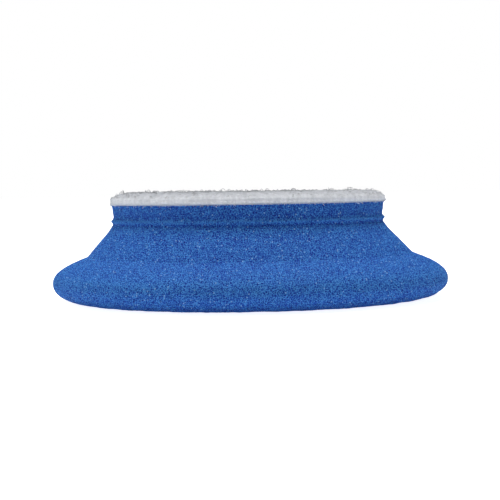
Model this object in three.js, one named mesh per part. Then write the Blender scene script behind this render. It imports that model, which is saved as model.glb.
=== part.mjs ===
// Round foam polishing pad with a hook-and-loop back, resting on its working face.
//
// The foam body is a solid of revolution: a short neck under the cloth, a small lip where the neck cut
// ends, a flare that leans outwards, a crease, and a thick rounded rim around the flat working face.
// A film of hot-melt glue bonds the knitted ground cloth to the foam, and a dense pile of nylon loops
// stands on that cloth to catch the hooks of a backing plate.
//
// Units are millimetres. +Z is up, along the pad's axis, and the origin is the centre of the working face.

import * as THREE from "three";

// Driving dimensions
const PAD_R = 38.7; // widest point of the rim
const FOAM_H = 18.85; // working face to glue line
const LOOP_R = 27; // loop cloth, cut for a 50 mm backing plate
const GLUE_T = 0.2; // hot-melt film
const GROUND_T = 0.6; // knitted ground cloth
const PILE_T = 1.75; // standing loops

// Foam: radii and heights of its features
const FACE_R = PAD_R - 7.2; // the flat working face ends here
const RIM_Z = 3.87; // height of the widest point
const RIM_RISE = 2.15; // how steeply the rim's top starts to turn in
const CREASE_R = PAD_R - 6.64; // inner end of the rim
const CREASE_Z = 8.83;
const SHELF_R = CREASE_R + 4.16; // the rim's top comes in to the crease from this side
const SHELF_Z = CREASE_Z - 1.64;
const FLARE_R = CREASE_R - 4.4; // upper end of the flare's straight stretch
const FLARE_Z = CREASE_Z + 4.6;
const NECK_R = LOOP_R - 0.5; // the foam is cut a little inside the cloth
const LIP_Z = FOAM_H - 3.1; // the lip that the neck cut leaves
const LIP_OUT = 0.38; // how far it stands out from the neck
const LIP_HALF = 0.5; // half its width where it meets the neck

// Loop cloth
const CUT_IN = 0.1; // the ground cloth and the glue film end this far inside the loops
const SHOULDER_R = 3.15; // the outer loops lean out and down over this width
const SHOULDER_DROP = 1.38; // and by this much at the edge

// Layers, from the foam up
const GAP = 0.01; // between layers that touch
const GLUE_Z = FOAM_H + GAP;
const GROUND_Z = FOAM_H + GLUE_T + GAP;
const PILE_Z = FOAM_H + GLUE_T + GROUND_T + GAP;
const TOP_Z = FOAM_H + GLUE_T + GROUND_T + PILE_T;

const SEGMENTS = 72; // around the axis

const FOAM_BLUE = new THREE.MeshStandardMaterial({ color: 0x2f68b5, roughness: 0.95, metalness: 0 });
const GLUE_CLEAR = new THREE.MeshStandardMaterial({ color: 0xd9d8cf, roughness: 0.35, metalness: 0 });
const CLOTH_WHITE = new THREE.MeshStandardMaterial({ color: 0xe6e7ea, roughness: 0.9, metalness: 0 });
const PILE_WHITE = new THREE.MeshStandardMaterial({ color: 0xdfe1e6, roughness: 0.85, metalness: 0 });

// Turns an outline of [radius, height] points, which starts and ends on the axis, into a named mesh.
function turned(name, outline, material) {
  const points = outline.map(([r, z]) => new THREE.Vector2(r, z));
  const geometry = new THREE.LatheGeometry(points, SEGMENTS).rotateX(Math.PI / 2);
  const mesh = new THREE.Mesh(geometry, material);
  mesh.name = name;
  return mesh;
}

// Points along part of an ellipse, without its first point.
function arc([centreR, centreZ], [radiusR, radiusZ], fromDeg, toDeg, steps) {
  return Array.from({ length: steps }, (_, i) => {
    const a = THREE.MathUtils.degToRad(fromDeg + ((toDeg - fromDeg) * (i + 1)) / steps);
    return [centreR + radiusR * Math.cos(a), centreZ + radiusZ * Math.sin(a)];
  });
}

// Points along a cubic Bezier curve, without its first point.
function sweep(from, leave, arrive, to, steps) {
  const [a, b, c, d] = [from, leave, arrive, to].map(([r, z]) => new THREE.Vector2(r, z));
  const points = new THREE.CubicBezierCurve(a, b, c, d).getPoints(steps);
  return points.slice(1).map((p) => [p.x, p.y]);
}

// Working face, rounded lower rim, sloping upper rim, crease, flare, groove, lip and neck.
function foamOutline() {
  const widest = [PAD_R, RIM_Z];
  const crease = [CREASE_R, CREASE_Z];
  return [
    [0, 0],
    [FACE_R, 0],
    ...arc([FACE_R, RIM_Z], [PAD_R - FACE_R, RIM_Z], -90, 0, 7),
    ...sweep(widest, [PAD_R, RIM_Z + RIM_RISE], [SHELF_R, SHELF_Z], crease, 7),
    [FLARE_R, FLARE_Z],
    [NECK_R + LIP_OUT, LIP_Z - 2 * LIP_HALF],
    [NECK_R, LIP_Z - LIP_HALF],
    [NECK_R + LIP_OUT, LIP_Z],
    [NECK_R, LIP_Z + LIP_HALF],
    [NECK_R, FOAM_H],
    [0, FOAM_H],
  ];
}

// A flat disc between two heights.
function disc(radius, bottom, top) {
  return [
    [0, bottom],
    [radius, bottom],
    [radius, top],
    [0, top],
  ];
}

// The pile's envelope. Its shoulder is a parabola that starts level and is steepest at the edge.
function pileOutline() {
  const steps = 5;
  const shoulder = Array.from({ length: steps + 1 }, (_, i) => {
    const inwards = i / steps;
    return [LOOP_R - SHOULDER_R * inwards, TOP_Z - SHOULDER_DROP * (1 - inwards) ** 2];
  });
  return [[0, PILE_Z], [LOOP_R, PILE_Z], ...shoulder, [0, TOP_Z]];
}

const pad = new THREE.Group();
pad.add(turned("foam_body", foamOutline(), FOAM_BLUE));
pad.add(turned("glue_film", disc(LOOP_R - CUT_IN, GLUE_Z, GROUND_Z - GAP), GLUE_CLEAR));
pad.add(turned("loop_ground_cloth", disc(LOOP_R - CUT_IN, GROUND_Z, PILE_Z - GAP), CLOTH_WHITE));
pad.add(turned("loop_pile", pileOutline(), PILE_WHITE));

export default pad;
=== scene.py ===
import math

import bpy
import numpy as np
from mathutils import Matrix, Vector


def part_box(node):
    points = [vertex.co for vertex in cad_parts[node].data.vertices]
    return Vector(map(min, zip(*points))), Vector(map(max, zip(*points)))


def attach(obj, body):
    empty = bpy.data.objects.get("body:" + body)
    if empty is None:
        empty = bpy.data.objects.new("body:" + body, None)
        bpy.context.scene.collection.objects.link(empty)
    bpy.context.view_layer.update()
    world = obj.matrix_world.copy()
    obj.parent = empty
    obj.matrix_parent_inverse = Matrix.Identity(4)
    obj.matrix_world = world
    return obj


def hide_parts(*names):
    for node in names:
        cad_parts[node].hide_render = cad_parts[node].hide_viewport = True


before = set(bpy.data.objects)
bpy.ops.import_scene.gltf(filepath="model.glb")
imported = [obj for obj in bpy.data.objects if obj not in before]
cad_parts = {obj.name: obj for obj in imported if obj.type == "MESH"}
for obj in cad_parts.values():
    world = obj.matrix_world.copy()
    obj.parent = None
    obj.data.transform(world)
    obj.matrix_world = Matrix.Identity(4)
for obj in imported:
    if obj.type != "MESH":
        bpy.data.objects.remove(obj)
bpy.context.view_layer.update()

# ---------------------------------------------------------------------------------------------------
# Camera. A long lens about 30 cm away, a whisker above the loop face, so that the pad is seen edge on.
# It is turned a touch about its own line of sight, so the pad's right side stands a little higher.

eye = Vector((0.0003, -0.2908, 0.0223))
aim = Vector((0.0003, 0.0, 0.0096))
roll = math.radians(-0.97)
camera_data = bpy.data.cameras.new("camera")
camera_data.lens = 106.3
camera_data.sensor_width = 36.0
camera = bpy.data.objects.new("camera", camera_data)
bpy.context.collection.objects.link(camera)
camera.location = eye
camera.rotation_euler = (aim - eye).to_track_quat("-Z", "Y").to_euler()
camera.rotation_euler.rotate_axis("Z", roll)
bpy.context.scene.camera = camera

# ---------------------------------------------------------------------------------------------------
# Foam body. One block of blue open-cell polyurethane foam, cut out round and ground to its profile on a
# spindle: a short neck, the lip where the neck cut ends, a flare, a crease and a thick rounded rim.
# The cut goes straight through the cells, so every surface is a net of struts around open pits.

MM = 1000  # shapes are worked out in millimetres
rim_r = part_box("foam_body")[1].x * MM
foam_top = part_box("foam_body")[1].z * MM
cloth_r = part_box("loop_ground_cloth")[1].x * MM
face_r = rim_r - 7.2  # the flat working face, where the rim starts to curve up
rim_z = 3.87  # the height where the rim is widest
crease_r, crease_z = rim_r - 6.64, 8.83
neck_r = cloth_r - 0.3
lip_z = foam_top - 3.05
rim_shift = 0.3  # the rim was ground a touch off the neck's centre
cell = 0.4  # from one cell's middle to the next
pit_depth = 0.2
skin_step = 0.135  # from one ring of the skin to the next
skin_columns = 1400


def even_steps(line, step):
    """The line through the given points, read again at even distances along it, a step apart."""
    run = np.concatenate([[0], np.cumsum(np.hypot(*np.diff(line, axis=0).T))])
    at = np.linspace(0, run[-1], round(run[-1] / step) + 1)
    return np.column_stack([np.interp(at, run, side) for side in line.T])


def bell(z, middle, width):
    """A bell curve, 1 at its middle: e to the power of minus ((z - middle) / width) squared."""
    return np.exp(-(((z - middle) / width) ** 2))


def foam_profile(step):
    """Radius and height from the working face's edge up to the glue line, a step apart.

    The rim's lower half is a quarter of an ellipse, made a little squarer by raising its sine and cosine
    to a power below one. Its upper half is a cubic Bezier curve. Above the crease the radius is the
    neck's, plus a flare that dies away smoothly, slope times blend times ln(1 + e^((start - z) / blend)),
    plus a bell curve for the lip, less one for the groove under it and a wide one for the hollow of the
    neck above it. Next to the cloth the glue pulls the foam out, by a curve that dies away exponentially.
    Last, the whole line is averaged over a short reach each way, as ground foam has no sharp corners."""
    square = 0.93
    turn = np.linspace(0, math.pi / 2, 200)
    out = face_r + (rim_r - face_r) * np.sin(turn) ** square
    lower = np.column_stack([out, rim_z * (1 - np.cos(turn).clip(0) ** square)])
    t = np.linspace(0, 1, 200)[:, None]
    steep, shelf = (rim_r, rim_z + 2.15), (crease_r + 4.16, crease_z - 1.64)
    guides = [(rim_r, rim_z), steep, shelf, (crease_r, crease_z)]
    weights = [(1 - t) ** 3, 3 * t * (1 - t) ** 2, 3 * t * t * (1 - t), t**3]
    upper = sum(weight * np.array(guide) for weight, guide in zip(weights, guides))
    z = np.linspace(crease_z, foam_top, 600)
    slope, blend, start = 0.92, 0.45, crease_z + 5.85
    flare = slope * blend * np.log1p(np.exp((start - z) / blend))
    lip = 0.44 * bell(z, lip_z, 0.34)
    groove = 0.17 * bell(z, lip_z - 0.74, 0.26)
    hollow = 0.17 * bell(z, lip_z + 0.6, 1.0)
    pull = 0.25 * np.exp((z - foam_top) / 0.3)
    above = np.column_stack([neck_r + flare + lip - groove - hollow + pull, z])
    fine = 0.02
    line = even_steps(np.concatenate([lower, upper[1:], above[1:]]), fine)
    reach = 12  # in fine steps
    padded = np.pad(line, ((reach, reach), (0, 0)), mode="reflect", reflect_type="odd")
    kernel = np.hanning(2 * reach + 3)[1:-1]
    soft = [np.convolve(side, kernel / kernel.sum(), mode="valid") for side in padded.T]
    return even_steps(np.column_stack(soft), step)


def ring_quads(rows, columns):
    """Corners of each square of a grid that closes on itself: columns run round, rows run along."""
    i, j = np.divmod(np.arange((rows - 1) * columns), columns)
    k = (j + 1) % columns
    row, next_row = i * columns, (i + 1) * columns
    return np.column_stack([row + j, row + k, next_row + k, next_row + j])


def turned(line, columns):
    """Each radius and height of a line, carried round the axis as a ring of points."""
    angle = np.arange(columns) * 2 * math.pi / columns
    radius, height = line[:, :1], line[:, 1:]
    ring = [radius * np.cos(angle), radius * np.sin(angle), height + 0 * angle]
    return np.stack(ring, axis=-1).reshape(-1, 3)


def round_grid(count):
    """A square grid of count by count cells, pulled round into a disc of radius 1, as radii and angles.

    A point at (a, b) goes out to radius max(|a|, |b|), at an angle that runs evenly along each side."""
    a, b = np.meshgrid(*[np.linspace(-1, 1, count + 1)] * 2, indexing="ij")
    wide = abs(a) >= abs(b)
    long, short = np.where(wide, a, b), np.where(wide, b, a)
    share = math.pi / 4 * short / np.where(long == 0, 1, long)
    angle = np.where(wide, share, math.pi / 2 - share) + np.where(long < 0, math.pi, 0)
    return abs(long), angle


def skin(line, outward, columns, lid_rings):
    """The skin of a turned shape: its points, the way out at each, its faces and its paint map.

    The line runs up the outside and is turned round the axis. Its first ring is closed underneath by a
    round grid, which keeps even spacing right to the middle. Its last ring is closed by a few plain rings
    and a centre point, for a side that is glued down. The paint map lays the outside in two strips, one
    above the other, each with a little room over it for the plain rings, and the round grid above both."""
    lid_room = 1
    lid = np.array([[line[-1, 0] * share, line[-1, 1]] for share in lid_rings])
    rings = np.concatenate([line, lid])
    ways = np.concatenate([outward, np.tile([0, 1], (len(lid), 1))])
    side, side_way = turned(rings, columns), turned(ways, columns)
    out, angle = round_grid(columns // 4)
    inside = out < 1 - 1e-9
    spread = out[inside] * line[0, 0]
    flat = [spread * np.cos(angle[inside]), spread * np.sin(angle[inside]), 0 * spread + line[0, 1]]
    centre = [[0, 0, line[-1, 1]]]
    points = np.concatenate([side, np.column_stack(flat), centre])
    way = np.concatenate([side_way, np.tile([0, 0, -1], (inside.sum(), 1)), [[0, 0, 1]]])

    strip = ring_quads(len(rings), columns)
    number = np.round(angle / (2 * math.pi) * columns).astype(int) % columns
    number[inside] = len(side) + np.arange(inside.sum())
    under = np.stack([number[:-1, :-1], number[:-1, 1:], number[1:, 1:], number[1:, :-1]], axis=-1)
    under = under.reshape(-1, 4)
    j = np.arange(columns)
    last = (len(rings) - 1) * columns
    fan = np.column_stack([last + j, last + (j + 1) % columns, np.full(columns, len(points) - 1)])

    half = columns // 2
    width = math.pi * line[:, 0].max()
    run = np.concatenate([[0], np.cumsum(np.hypot(*np.diff(line, axis=0).T))])
    tall = run[-1] + lid_room
    run = np.concatenate([run, run[-1] + lid_room * np.linspace(0.2, 0.8, len(lid))])
    row, column = np.divmod(np.arange((len(rings) - 1) * columns), columns)
    u = (column[:, None] % half + np.array([0, 1, 1, 0])) * width / half
    v = run[row[:, None] + np.array([0, 0, 1, 1])] + (column[:, None] >= half) * tall
    strip_map = np.stack([u, v], axis=-1).reshape(-1, 2)
    under_map = points[under.ravel()][:, :2] + [line[0, 0], line[0, 0] + 2 * tall + 0.5 * lid_room]
    u = (j[:, None] % half + np.array([0, 1, 0.5])) * width / half
    v = np.array([run[-1], run[-1], tall - 0.05 * lid_room]) + (j[:, None] >= half) * tall
    fan_map = np.stack([u, v], axis=-1).reshape(-1, 2)
    paint_map = np.concatenate([strip_map, under_map, fan_map])
    return points, way, [strip, under, fan], paint_map / paint_map.max()


def swell(points, length, draw):
    """A smooth uneven field, mostly from -1 to 1: a sum of plane waves of one length, aimed at random."""
    count = 16
    aims = draw.normal(size=(count, points.shape[1]))
    aims *= 2 * math.pi / length / np.linalg.norm(aims, axis=1)[:, None]
    starts = draw.uniform(0, 2 * math.pi, count)
    return sum(np.cos(points @ aim + start) for aim, start in zip(aims, starts)) / math.sqrt(count)


def add_piece(name, points, faces, paint_map):
    """A mesh object from points in millimetres, arrays of faces, and each corner's place on a paint map."""
    mesh = bpy.data.meshes.new(name)
    mesh.vertices.add(len(points))
    mesh.vertices.foreach_set("co", (points / MM).ravel())
    corners = np.concatenate([f.ravel() for f in faces])
    sizes = np.concatenate([np.full(len(f), f.shape[1]) for f in faces])
    mesh.loops.add(len(corners))
    mesh.loops.foreach_set("vertex_index", corners)
    mesh.polygons.add(len(sizes))
    mesh.polygons.foreach_set("loop_start", np.concatenate([[0], np.cumsum(sizes)[:-1]]))
    mesh.polygons.foreach_set("use_smooth", np.full(len(sizes), True))
    mesh.update(calc_edges=True)
    layer = mesh.uv_layers.new(name="OFBake")
    layer.data.foreach_set("uv", paint_map.ravel())
    piece = bpy.data.objects.new(name, mesh)
    bpy.context.collection.objects.link(piece)
    return piece


class Wire:
    """One socket in a material. Sums with wires or numbers, either way round, add Math nodes."""

    def __init__(self, tree, socket=None):
        self.tree = tree
        self.socket = socket

    def maths(self, operation, *values, clamp=False):
        """Adds one Math node on wires or numbers."""
        return self.node("Math", {"operation": operation, "use_clamp": clamp}, dict(enumerate(values)))

    def node(self, kind, settings, inputs, output=0):
        """Adds any node: its settings are set first, then each input is given its value or its wire."""
        made = self.tree.nodes.new("ShaderNode" + kind)
        for name, value in settings.items():
            if name == "stops":
                while len(made.color_ramp.elements) < len(value):
                    made.color_ramp.elements.new(1)
                for stop, (place, colour) in zip(made.color_ramp.elements, value):
                    stop.position = place
                    stop.color = (*colour, 1)
            else:
                setattr(made, name, value)
        for name, value in inputs.items():
            if isinstance(value, Wire):
                self.tree.links.new(value.socket, made.inputs[name])
            else:
                made.inputs[name].default_value = value
        return Wire(self.tree, made.outputs[output]) if len(made.outputs) else None

    def __add__(self, other):
        return self.maths("ADD", self, other)

    def __sub__(self, other):
        return self.maths("SUBTRACT", self, other)

    def __rsub__(self, other):
        return self.maths("SUBTRACT", other, self)

    def __mul__(self, other):
        return self.maths("MULTIPLY", self, other)

    def __gt__(self, other):
        return self.maths("GREATER_THAN", self, other)

    def __lt__(self, other):
        return self.maths("LESS_THAN", self, other)

    __radd__ = __add__
    __rmul__ = __mul__

    def clamped(self):
        """The same value, kept from 0 to 1."""
        return self.maths("ADD", self, 0.0, clamp=True)


def new_finish(name):
    """An empty node material, and a wire that its nodes are added from."""
    material = bpy.data.materials.new(name)
    material.use_nodes = True
    material.node_tree.nodes.clear()
    return material, Wire(material.node_tree)


def finish_with(make, inputs):
    """Ends a material with one Principled shader: values or wires for its sockets, by name."""
    make.node("OutputMaterial", {}, {"Surface": make.node("BsdfPrincipled", {}, inputs)})


def mixed(share, first, second):
    """A colour part way from the first to the second, by a wire from 0 to 1."""
    return share.node("Mix", {"data_type": "RGBA"}, {0: share, 6: first, 7: second}, output=2)


def cell_edges(make, where, pitch):
    """How far a place is from the nearest wall between two cells of a loose lattice, in pitches.

    Each cube of the lattice holds one cell middle, at a random place within four fifths of its width."""
    settings = {"feature": "DISTANCE_TO_EDGE"}
    inputs = {"Vector": where, "Scale": MM / pitch, "Randomness": 0.8}
    return make.node("TexVoronoi", settings, inputs, "Distance")


def read_pattern(points, pattern):
    """Reads a texture, made by pattern(make, where), at many points at once.

    The points go into a mesh without faces, and a geometry node tree keeps the texture's value at each.
    So a shape can follow the very pattern that its material shows."""
    mesh = bpy.data.meshes.new("probe")
    mesh.vertices.add(len(points))
    mesh.vertices.foreach_set("co", (points / MM).ravel())
    probe = bpy.data.objects.new("probe", mesh)
    bpy.context.collection.objects.link(probe)
    tree = bpy.data.node_groups.new("probe", "GeometryNodeTree")
    for side in ("INPUT", "OUTPUT"):
        tree.interface.new_socket("Geometry", in_out=side, socket_type="NodeSocketGeometry")
    start, end = tree.nodes.new("NodeGroupInput"), tree.nodes.new("NodeGroupOutput")
    keep = tree.nodes.new("GeometryNodeStoreNamedAttribute")
    keep.inputs["Name"].default_value = "value"
    where = Wire(tree, tree.nodes.new("GeometryNodeInputPosition").outputs[0])
    tree.links.new(start.outputs[0], keep.inputs["Geometry"])
    tree.links.new(pattern(where, where).socket, keep.inputs["Value"])
    tree.links.new(keep.outputs[0], end.inputs[0])
    probe.modifiers.new("probe", "NODES").node_group = tree
    read = probe.evaluated_get(bpy.context.evaluated_depsgraph_get()).data.attributes["value"]
    values = np.zeros(len(points), np.float32)
    read.data.foreach_get("value", values)
    bpy.data.objects.remove(probe)
    bpy.data.meshes.remove(mesh)
    bpy.data.node_groups.remove(tree)
    return values


def foam_pits(make, where):
    """From 0 on the struts between cells to 1 inside a pit, where a cell was cut open.

    The distance from the nearest wall goes through a smooth step, 3 t^2 - 2 t^3."""
    span = {"Value": cell_edges(make, where, cell), "From Min": 0.03, "From Max": 0.3}
    return make.node("MapRange", {"interpolation_type": "SMOOTHSTEP"}, span)


def foam_blue():
    """Dyed blue foam. Strut tops are the lightest and the pits are painted darker, as painted shade.
    Here and there a painted glint stands for the cut end of a strut catching the light: the middle of
    one in twenty-five cells of a finer pattern. Painted highlight lightens the lip, a band under it and
    the rim's widest part; painted shade darkens the groove under the lip and the neck just over it."""
    material, make = new_finish("foam_blue")
    where = make.node("TexCoord", {}, {}, "Object")
    grain = make.node("TexNoise", {}, {"Vector": where, "Scale": 5200, "Detail": 1, "Roughness": 0.6})
    high = make.node("SeparateXYZ", {}, {"Vector": where}, "Z") * MM

    def band(middle, width):
        """A bell curve over the height: e to the power of minus ((height - middle) / width) squared."""
        away = (high - middle) * (1 / width)
        return make.maths("EXPONENT", away * away * -1.0)

    # Painted highlight: lighter bands on the lip, just under it and round the rim's widest part.
    painted_highlight_bands = band(lip_z, 0.36) * 0.24 + band(lip_z - 1.5, 0.5) * 0.07 + band(rim_z + 0.9, 1.6) * 0.12
    # Painted shade: darker bands in the groove under the lip and on the neck just over the lip.
    painted_shade_bands = band(lip_z - 0.7, 0.2) * 0.16 + band(lip_z + 0.9, 0.5) * 0.1
    # Pits painted darker as painted shade, grain for random tone, then the painted bands on top.
    painted_shade_and_grain = (foam_pits(make, where) * 0.6 + (grain - 0.5) * 3.1 + 0.23 + painted_shade_bands - painted_highlight_bands).clamped()
    stops = [
        (0, (0.074, 0.306, 0.73)),
        (0.25, (0.028, 0.148, 0.55)),
        (0.6, (0.0095, 0.06, 0.412)),
        (1, (0.0025, 0.015, 0.18)),
    ]
    blue = make.node("ValToRGB", {"stops": stops}, {"Fac": painted_shade_and_grain})
    spot = {"Vector": where, "Scale": 3000}
    spot_away = make.node("TexVoronoi", {}, spot, "Distance")
    spot_number = make.node("SeparateColor", {}, {"Color": make.node("TexVoronoi", {}, spot, "Color")})
    # Painted glint: light specks in a few cells, standing for struts that catch the light.
    glint = (spot_number > 0.96) * (spot_away < 0.42) * 0.75
    colour = mixed(glint, blue, (0.27, 0.52, 0.82, 1))
    bump = make.node("Bump", {}, {"Height": grain, "Distance": 0.00012, "Strength": 0.6})
    finish_with(make, {"Base Color": colour, "Normal": bump, "Roughness": 0.8, "Specular IOR Level": 0.2})
    return material


def outward_ways(line):
    """The way out of a turned shape along its line: the line's own direction, turned a right angle."""
    slope = np.gradient(line, axis=0)
    return np.column_stack([slope[:, 1], -slope[:, 0]]) / np.hypot(*slope.T)[:, None]


# The shift fades out up the flare. Pits and a slight waviness are cut inwards, except under the glue.
draw = np.random.default_rng(7)
profile = foam_profile(skin_step)
points, way, faces, paint_map = skin(profile, outward_ways(profile), skin_columns, [0.98, 0.5])
shift_end, shift_fade = 14, 5
points[:, 0] += rim_shift * np.clip((shift_end - points[:, 2]) / shift_fade, 0, 1)
pits = read_pattern(points, foam_pits)
glued = points[:, 2] > foam_top - 1e-6
waves = 0.03 * (1 + swell(points, 5, draw)) + 0.02 * (1 + swell(points, 1.7, draw))
depth = np.where(glued, 0, pit_depth * pits + np.clip(waves, 0, 1))
foam = add_piece("foam", points - way * depth[:, None], faces, paint_map)
foam.data.materials.append(foam_blue())
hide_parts("foam_body")
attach(foam, "root")

# ---------------------------------------------------------------------------------------------------
# Glue film. Milky hot-melt, laid on as a web and pressed while soft, so that its edge creeps out
# unevenly between the foam and the cloth and fills the cells that it meets.

glue_low, glue_high = (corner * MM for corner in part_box("glue_film"))


def turned_solid(outline, columns):
    """A closed solid of an outline that starts and ends on the axis: its points, faces and paint map.

    The outline's two ends become one point each, with a fan of triangles to the ring beside it."""
    rings = outline[1:-1]
    ends = [[0, 0, outline[0, 1]], [0, 0, outline[-1, 1]]]
    points = np.concatenate([turned(rings, columns), ends])
    j = np.arange(columns)
    k = (j + 1) % columns
    last = (len(rings) - 1) * columns
    start_fan = np.column_stack([np.full(columns, len(points) - 2), k, j])
    end_fan = np.column_stack([last + j, last + k, np.full(columns, len(points) - 1)])
    run = np.concatenate([[0], np.cumsum(np.hypot(*np.diff(outline, axis=0).T))])
    run = run / run[-1]
    row, column = np.divmod(np.arange((len(rings) - 1) * columns), columns)
    u = (column[:, None] + np.array([0, 1, 1, 0])) / columns
    v = run[1 + row[:, None] + np.array([0, 0, 1, 1])]
    fans = [
        np.stack([(j[:, None] + np.array(along)) / columns, run[np.tile(rows, (columns, 1))]], axis=-1)
        for along, rows in (([0.5, 1, 0], [0, 1, 1]), ([0, 1, 0.5], [-2, -2, -1]))
    ]
    maps = [np.stack([u, v], axis=-1), *fans]
    faces = [ring_quads(len(rings), columns), start_fan, end_fan]
    return points, faces, np.concatenate([m.reshape(-1, 2) for m in maps])


def disc_outline(radius, bottom, top, rows):
    """A disc with a round edge: out along the bottom, up half a circle of rows, and in along the top."""
    turn = np.linspace(-math.pi / 2, math.pi / 2, rows)
    thick = (top - bottom) / 2
    edge = np.column_stack([radius - thick + thick * np.cos(turn), bottom + thick + thick * np.sin(turn)])
    inner = np.array([0, 0.6 * radius, radius - 3])
    under, over = (np.column_stack([inner, np.full(3, z)]) for z in (bottom, top))
    return np.concatenate([under, edge, over[::-1]])


def push_out(points, amount):
    """Moves each point straight out from the pad's axis by its own amount."""
    radius = np.maximum(np.hypot(points[:, 0], points[:, 1]), 1)
    points[:, :2] *= (1 + amount / radius)[:, None]


def milky_glue():
    """Hot-melt glue, cloudy with fine bubbles, with a blue cast where it lies on the foam."""
    material, make = new_finish("milky_glue")
    where = make.node("TexCoord", {}, {}, "Object")
    cloud = make.node("TexNoise", {}, {"Vector": where, "Scale": 1500, "Detail": 3})
    colour = mixed(cloud, (0.35, 0.52, 0.82, 1), (0.88, 0.91, 0.95, 1))
    finish_with(make, {"Base Color": colour, "Roughness": 0.4, "Specular IOR Level": 0.4})
    return material


# The edge creeps in and out by a coarse and a fine swell, and on the whole stays back a little.
outline = disc_outline(glue_high.x, glue_low.z, glue_high.z, 7)
points, faces, paint_map = turned_solid(outline, 900)
radius = np.hypot(points[:, 0], points[:, 1])
creep = 0.08 * swell(points, 2.2, draw) + 0.06 * swell(points, 0.7, draw) - 0.1
push_out(points, np.where(radius > glue_high.x - 1, np.clip(creep, -0.3, 0.1), 0))
glue = add_piece("glue_film", points, faces, paint_map)
glue.data.materials.append(milky_glue())
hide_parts("glue_film")
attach(glue, "root")

# ---------------------------------------------------------------------------------------------------
# Ground cloth. A white knitted nylon ground, die-cut to a disc: the ends of its columns of stitches
# show as fine ribs round the cut edge, and cut filaments fray from it.

ground_low, ground_high = (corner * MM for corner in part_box("loop_ground_cloth"))
pile_low, pile_high = (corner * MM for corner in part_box("loop_pile"))
rib_width = 0.84
ribs_round = round(2 * math.pi * cloth_r / rib_width)


def white_nylon(name, light, shade, scale, lift=0.0):
    """White nylon yarn, cloudy from a light to a shaded white, and greyer by lift from the cloth's
    underside to the tips of the loops, where less light comes back from yarn to yarn."""
    material, make = new_finish(name)
    where = make.node("TexCoord", {}, {}, "Object")
    flat = make.node("Mapping", {}, {"Vector": where, "Scale": (1, 1, 0)})
    cloud = make.node("TexNoise", {}, {"Vector": flat, "Scale": scale, "Detail": 3, "Roughness": 0.6})
    high = make.node("SeparateXYZ", {}, {"Vector": where}, "Z")
    span = {"Value": high, "From Min": ground_low.z / MM, "From Max": pile_high.z / MM}
    share = ((cloud - 0.5) * 1.2 + 1 - make.node("MapRange", {}, span) * lift).clamped()
    colour = mixed(share, shade, light)
    finish_with(make, {"Base Color": colour, "Roughness": 0.55, "Specular IOR Level": 0.35})
    return material


outline = disc_outline(cloth_r - 0.05, ground_low.z, ground_high.z, 15)
points, faces, paint_map = turned_solid(outline, 6 * ribs_round)
angle = np.arctan2(points[:, 1], points[:, 0])
radius = np.hypot(points[:, 0], points[:, 1])
ribs = 0.07 * np.cos(angle * ribs_round) + 0.08 * swell(points, 0.9, draw)
at_edge = np.clip((radius - cloth_r + 1) / 0.7, 0, 1)
push_out(points, at_edge * ribs)
ground = add_piece("ground_cloth", points, faces, paint_map)
ground_white = white_nylon("ground_white", (0.94, 0.96, 1.0, 1), (0.85, 0.90, 0.96, 1), 1400)
ground.data.materials.append(ground_white)
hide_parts("loop_ground_cloth")
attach(ground, "root")

# ---------------------------------------------------------------------------------------------------
# Loop pile. Fine nylon loops knitted through the ground cloth and brushed up, so that they lean every
# way and stand in a springy nap. Their feet are matted together, and the outer ones lean out and down.

pile_r = pile_high.x
nap = pile_high.z - pile_low.z
shoulder_r, shoulder_drop = 3.15, 1.38  # how far in from the edge the nap rounds over, and how far down
tuft = 0.5  # from one tuft of the felt to the next
loops, loops_in_piece = 12000, 3000
foot_sunk = 0.1  # how far a loop's feet go into the ground cloth
yarn = 0.11


def tubes(lines, sidewise, thick):
    """Points and faces of thin closed three-sided tubes along many lines at once, thick across.

    At each point of a line, two directions square to it carry the ring: the sidewise one, less its part
    along the line, and the line's direction crossed with that."""
    sides = 3
    along = np.gradient(lines, axis=1)
    along /= np.linalg.norm(along, axis=-1, keepdims=True)
    first = sidewise[:, None] - along * (along * sidewise[:, None]).sum(axis=-1, keepdims=True)
    first /= np.linalg.norm(first, axis=-1, keepdims=True)
    second = np.cross(along, first)
    turn = np.arange(sides) * 2 * math.pi / sides
    ring = first[:, :, None] * np.cos(turn)[:, None] + second[:, :, None] * np.sin(turn)[:, None]
    points = lines[:, :, None] + ring * thick / 2
    count, steps = lines.shape[:2]
    first_of = np.arange(count)[:, None, None] * steps * sides
    quads = (first_of + ring_quads(steps, sides)).reshape(-1, 4)
    caps = np.stack([np.arange(sides)[::-1], (steps - 1) * sides + np.arange(sides)])
    return points.reshape(-1, 3), [quads, (first_of + caps).reshape(-1, sides)]


def from_above(points, faces):
    """A paint map that looks straight down: each corner's place across the pad."""
    corners = np.concatenate([f.ravel() for f in faces])
    return 0.5 + points[corners, :2] / (2.2 * pile_r)


def yarn_loops(roots, facing, lean, height, width, bow):
    """The middle lines of many loops at once.

    At a share s of its length, a loop has gone w/2 cos(pi s) (0.55 + 0.75 sin(pi s)) across, b sin(2 pi s)
    aside and h sin(pi s)^0.8 up, and all of it leans over by its lean times (height gained / h)^1.5."""
    s = np.linspace(0, 1, 9)
    bulge = 0.55 + 0.75 * np.sin(math.pi * s)
    across = width[:, None] / 2 * np.cos(math.pi * s) * bulge
    aside = bow[:, None] * np.sin(2 * math.pi * s)
    rise = np.sin(math.pi * s) ** 0.8
    x, y = np.cos(facing)[:, None], np.sin(facing)[:, None]
    line = np.stack([across * x - aside * y, across * y + aside * x, rise * height[:, None]], axis=-1)
    line[:, :, :2] += roots[:, None] + lean[:, None] * (rise**1.5)[:, None]
    line[:, :, 2] += pile_low.z - foot_sunk
    return line


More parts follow.
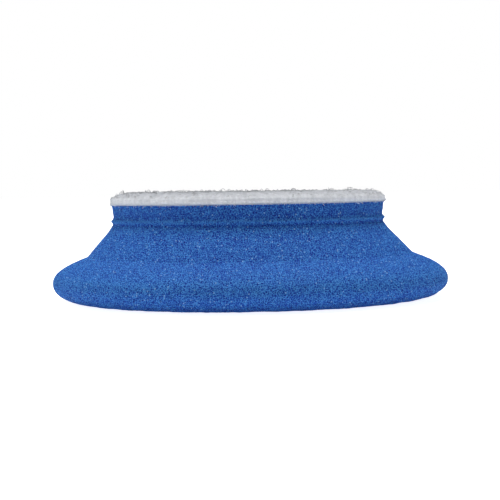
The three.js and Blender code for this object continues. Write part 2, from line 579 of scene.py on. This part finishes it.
def shoulder_height(radius):
    """The nap's depth at each radius: full, less a parabola over the last stretch before the edge."""
    return nap - shoulder_drop * np.clip(1 - (pile_r - radius) / shoulder_r, 0, 1) ** 2


def pressed(across):
    """How much of its depth the nap keeps: more at one side of the pad, where it was pressed less."""
    return 0.95 - 0.06 * across / pile_r


# The roots lie on a sunflower spiral, shaken a little. Few loops stand as high as the nap: the brush
# caught those, and they are wide as well as tall.
number = np.arange(loops)
spread = (pile_r - 0.5) * np.sqrt((number + 0.5) / loops)
around = number * math.pi * (3 - math.sqrt(5))
roots = np.column_stack([spread * np.cos(around), spread * np.sin(around)])
roots += draw.normal(0, 0.12, (loops, 2))
spread = np.hypot(*roots.T)
edge = np.clip((spread - pile_r + shoulder_r) / shoulder_r, 0, 1)
outwards = roots / np.maximum(spread, 1e-6)[:, None]
lean = draw.normal(0, 0.26, (loops, 2)) + outwards * (0.25 * edge**2)[:, None]
rise = np.minimum(0.72 + draw.exponential(0.07, loops), 1.25)
proud = rise > 0.92
height = (shoulder_height(spread) + foot_sunk) * rise * pressed(roots[:, 0])
facing = draw.uniform(0, math.pi, loops)
width = np.where(proud, draw.uniform(0.8, 1.5, loops), draw.uniform(0.5, 0.8, loops))
bow = draw.normal(0, 0.12, loops)
lines = yarn_loops(roots, facing, lean, height, width, bow)
sidewise = np.column_stack([-np.sin(facing), np.cos(facing), 0 * facing])
loop_white = white_nylon("loop_white", (0.91, 0.93, 0.96, 1), (0.40, 0.41, 0.43, 1), 420, 0.9)
sector = np.argsort(np.arctan2(roots[:, 1], roots[:, 0]))
for quarter in range(loops // loops_in_piece):
    chosen = sector[quarter * loops_in_piece : (quarter + 1) * loops_in_piece]
    points, faces = tubes(lines[chosen], sidewise[chosen], yarn)
    piece = add_piece(f"loops_{quarter + 1}", points, faces, from_above(points, faces))
    piece.data.materials.append(loop_white)
    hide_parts("loop_pile")
    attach(piece, "root")

# The matted feet: a lumpy felt nearly as deep as the nap, with a ridge wherever two tufts meet. It rounds
# over at the shoulder and hangs down round the cloth's edge. It is made upside down, because skin() puts
# its round grid underneath, and then turned over.
felt_share = 0.81
felt_foot = ground_low.z + 0.12


def tuft_ridges(make, where):
    """From 1 where two tufts meet down to 0 inside each."""
    away = cell_edges(make, where, tuft)
    span = {"Value": away, "From Min": 0.0, "From Max": 0.25, "To Min": 1, "To Max": 0}
    return make.node("MapRange", {}, span)


across = pile_r - shoulder_r * np.linspace(1, 0, 12)
shoulder = np.column_stack([across - 0.15, pile_low.z + felt_share * shoulder_height(across)])
wall = even_steps(np.vstack([shoulder, [pile_r - 0.22, felt_foot]]), 0.15)
upside_down = wall * [1, -1]
points, way, faces, paint_map = skin(upside_down, outward_ways(upside_down), 960, [0.9, 0.4])
lump = 0.16 * read_pattern(points, tuft_ridges) + 0.05 * swell(points, 3, draw)
lump = np.where(points[:, 2] > upside_down[-1, 1] - 1e-6, 0, lump)
points += way * lump[:, None]
points[:, 2] *= -1
points[:, 2] -= np.maximum(points[:, 2] - pile_low.z, 0) * (1 - pressed(points[:, 0]))
faces = [f[:, ::-1] for f in faces]
felt = add_piece("matted_feet", points, faces, from_above(points, faces))
felt_white = white_nylon("felt_white", (0.94, 0.96, 1.0, 1), (0.50, 0.52, 0.56, 1), 900, 1.1)
felt.data.materials.append(felt_white)
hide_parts("loop_pile")
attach(felt, "root")

# Frayed filaments round the die-cut edge, each a short stiff curve that points out and up or down.
frays, filament = 4200, 0.06
angle = draw.uniform(0, 2 * math.pi, frays)
start = np.column_stack([np.cos(angle), np.sin(angle), 0 * angle])
foot_z = draw.uniform(glue_low.z, ground_high.z, frays)
foot = start * (cloth_r - 0.3) + np.array([0, 0, 1]) * foot_z[:, None]
reach = start * draw.uniform(0.1, 0.35, frays)[:, None] + draw.normal(0, 0.16, (frays, 3))
curl = draw.normal(0, 0.12, (frays, 3))
s = np.linspace(0, 1, 5)[:, None]
lines = foot[:, None] + reach[:, None] * s + curl[:, None] * s * s
points, faces = tubes(lines, np.cross(start, [0, 0, 1]) + [0.01, 0.02, 0.03], filament)
fray = add_piece("cut_edge_frays", points, faces, from_above(points, faces))
fray_white = white_nylon("fray_white", (0.96, 0.97, 0.98, 1), (0.85, 0.89, 0.94, 1), 900)
fray.data.materials.append(fray_white)
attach(fray, "root")

# ---------------------------------------------------------------------------------------------------
# Floor and light. A pale seamless table top under a wide soft box and a smaller, stronger one, with a
# soft box on each side and a little light from the front. What lies past the table is plain white.

bpy.context.scene.view_settings.view_transform = "Standard"


def table_white():
    """Opal acrylic lit from below: a faint glow under the pad that rises towards the far edges.

    The camera sees it a little brighter than it lights the pad."""
    material, make = new_finish("table_white")
    where = make.node("TexCoord", {}, {}, "Object")
    cloud = make.node("TexNoise", {}, {"Vector": where, "Scale": 6, "Detail": 2})
    colour = mixed(cloud, (0.93, 0.93, 0.93, 1), (0.95, 0.95, 0.95, 1))
    far = make.node("VectorMath", {"operation": "LENGTH"}, {0: where}, "Value")
    span = {"Value": far, "From Min": 0.2, "From Max": 1.0, "To Min": 0.26, "To Max": 1.15}
    glow = make.node("MapRange", {"interpolation_type": "SMOOTHSTEP"}, span)
    top = make.node("BsdfDiffuse", {}, {"Color": colour})
    seen = make.node("LightPath", {}, {}, "Is Camera Ray")
    lit = make.node("Emission", {}, {"Strength": glow + seen * 0.65})
    make.node("OutputMaterial", {}, {"Surface": make.node("AddShader", {}, {0: top, 1: lit})})
    return material


table_half, table_z = 3000, -0.15
corners = np.array([[-1, -1], [1, -1], [1, 1], [-1, 1]])
points = np.column_stack([corners * table_half, np.full(4, table_z)])
table = add_piece("table_top", points, [np.array([[0, 1, 2, 3]])], (corners + 1) / 2)
table.data.materials.append(table_white())

pad_middle = Vector((0, 0, 0.01))


def soft_box(name, place, size, watts):
    """A square light that faces the pad."""
    data = bpy.data.lights.new(name, "AREA")
    data.shape = "SQUARE"
    data.size = size
    data.energy = watts
    lamp = bpy.data.objects.new(name, data)
    bpy.context.collection.objects.link(lamp)
    lamp.location = place
    lamp.rotation_euler = (pad_middle - lamp.location).to_track_quat("-Z", "Y").to_euler()


soft_box("light_above", (0.0, 0.05, 0.9), 1.1, 1.9)
soft_box("light_key", (0.0, 0.0, 0.9), 0.3, 4.9)
soft_box("light_front", (0.0, -0.45, 0.8), 0.4, 0.9)
soft_box("light_left", (-0.75, -0.1, 0.3), 0.5, 1.5)
soft_box("light_right", (0.75, -0.1, 0.3), 0.5, 0.9)
world = bpy.data.worlds.new("white_room")
bpy.context.scene.world = world
world.use_nodes = True
world.node_tree.nodes.clear()
room = Wire(world.node_tree)
seen = room.node("LightPath", {}, {}, "Is Camera Ray")
sky = room.node("Background", {}, {"Color": (1, 1, 1, 1), "Strength": seen})
room.node("OutputWorld", {}, {"Surface": sky})
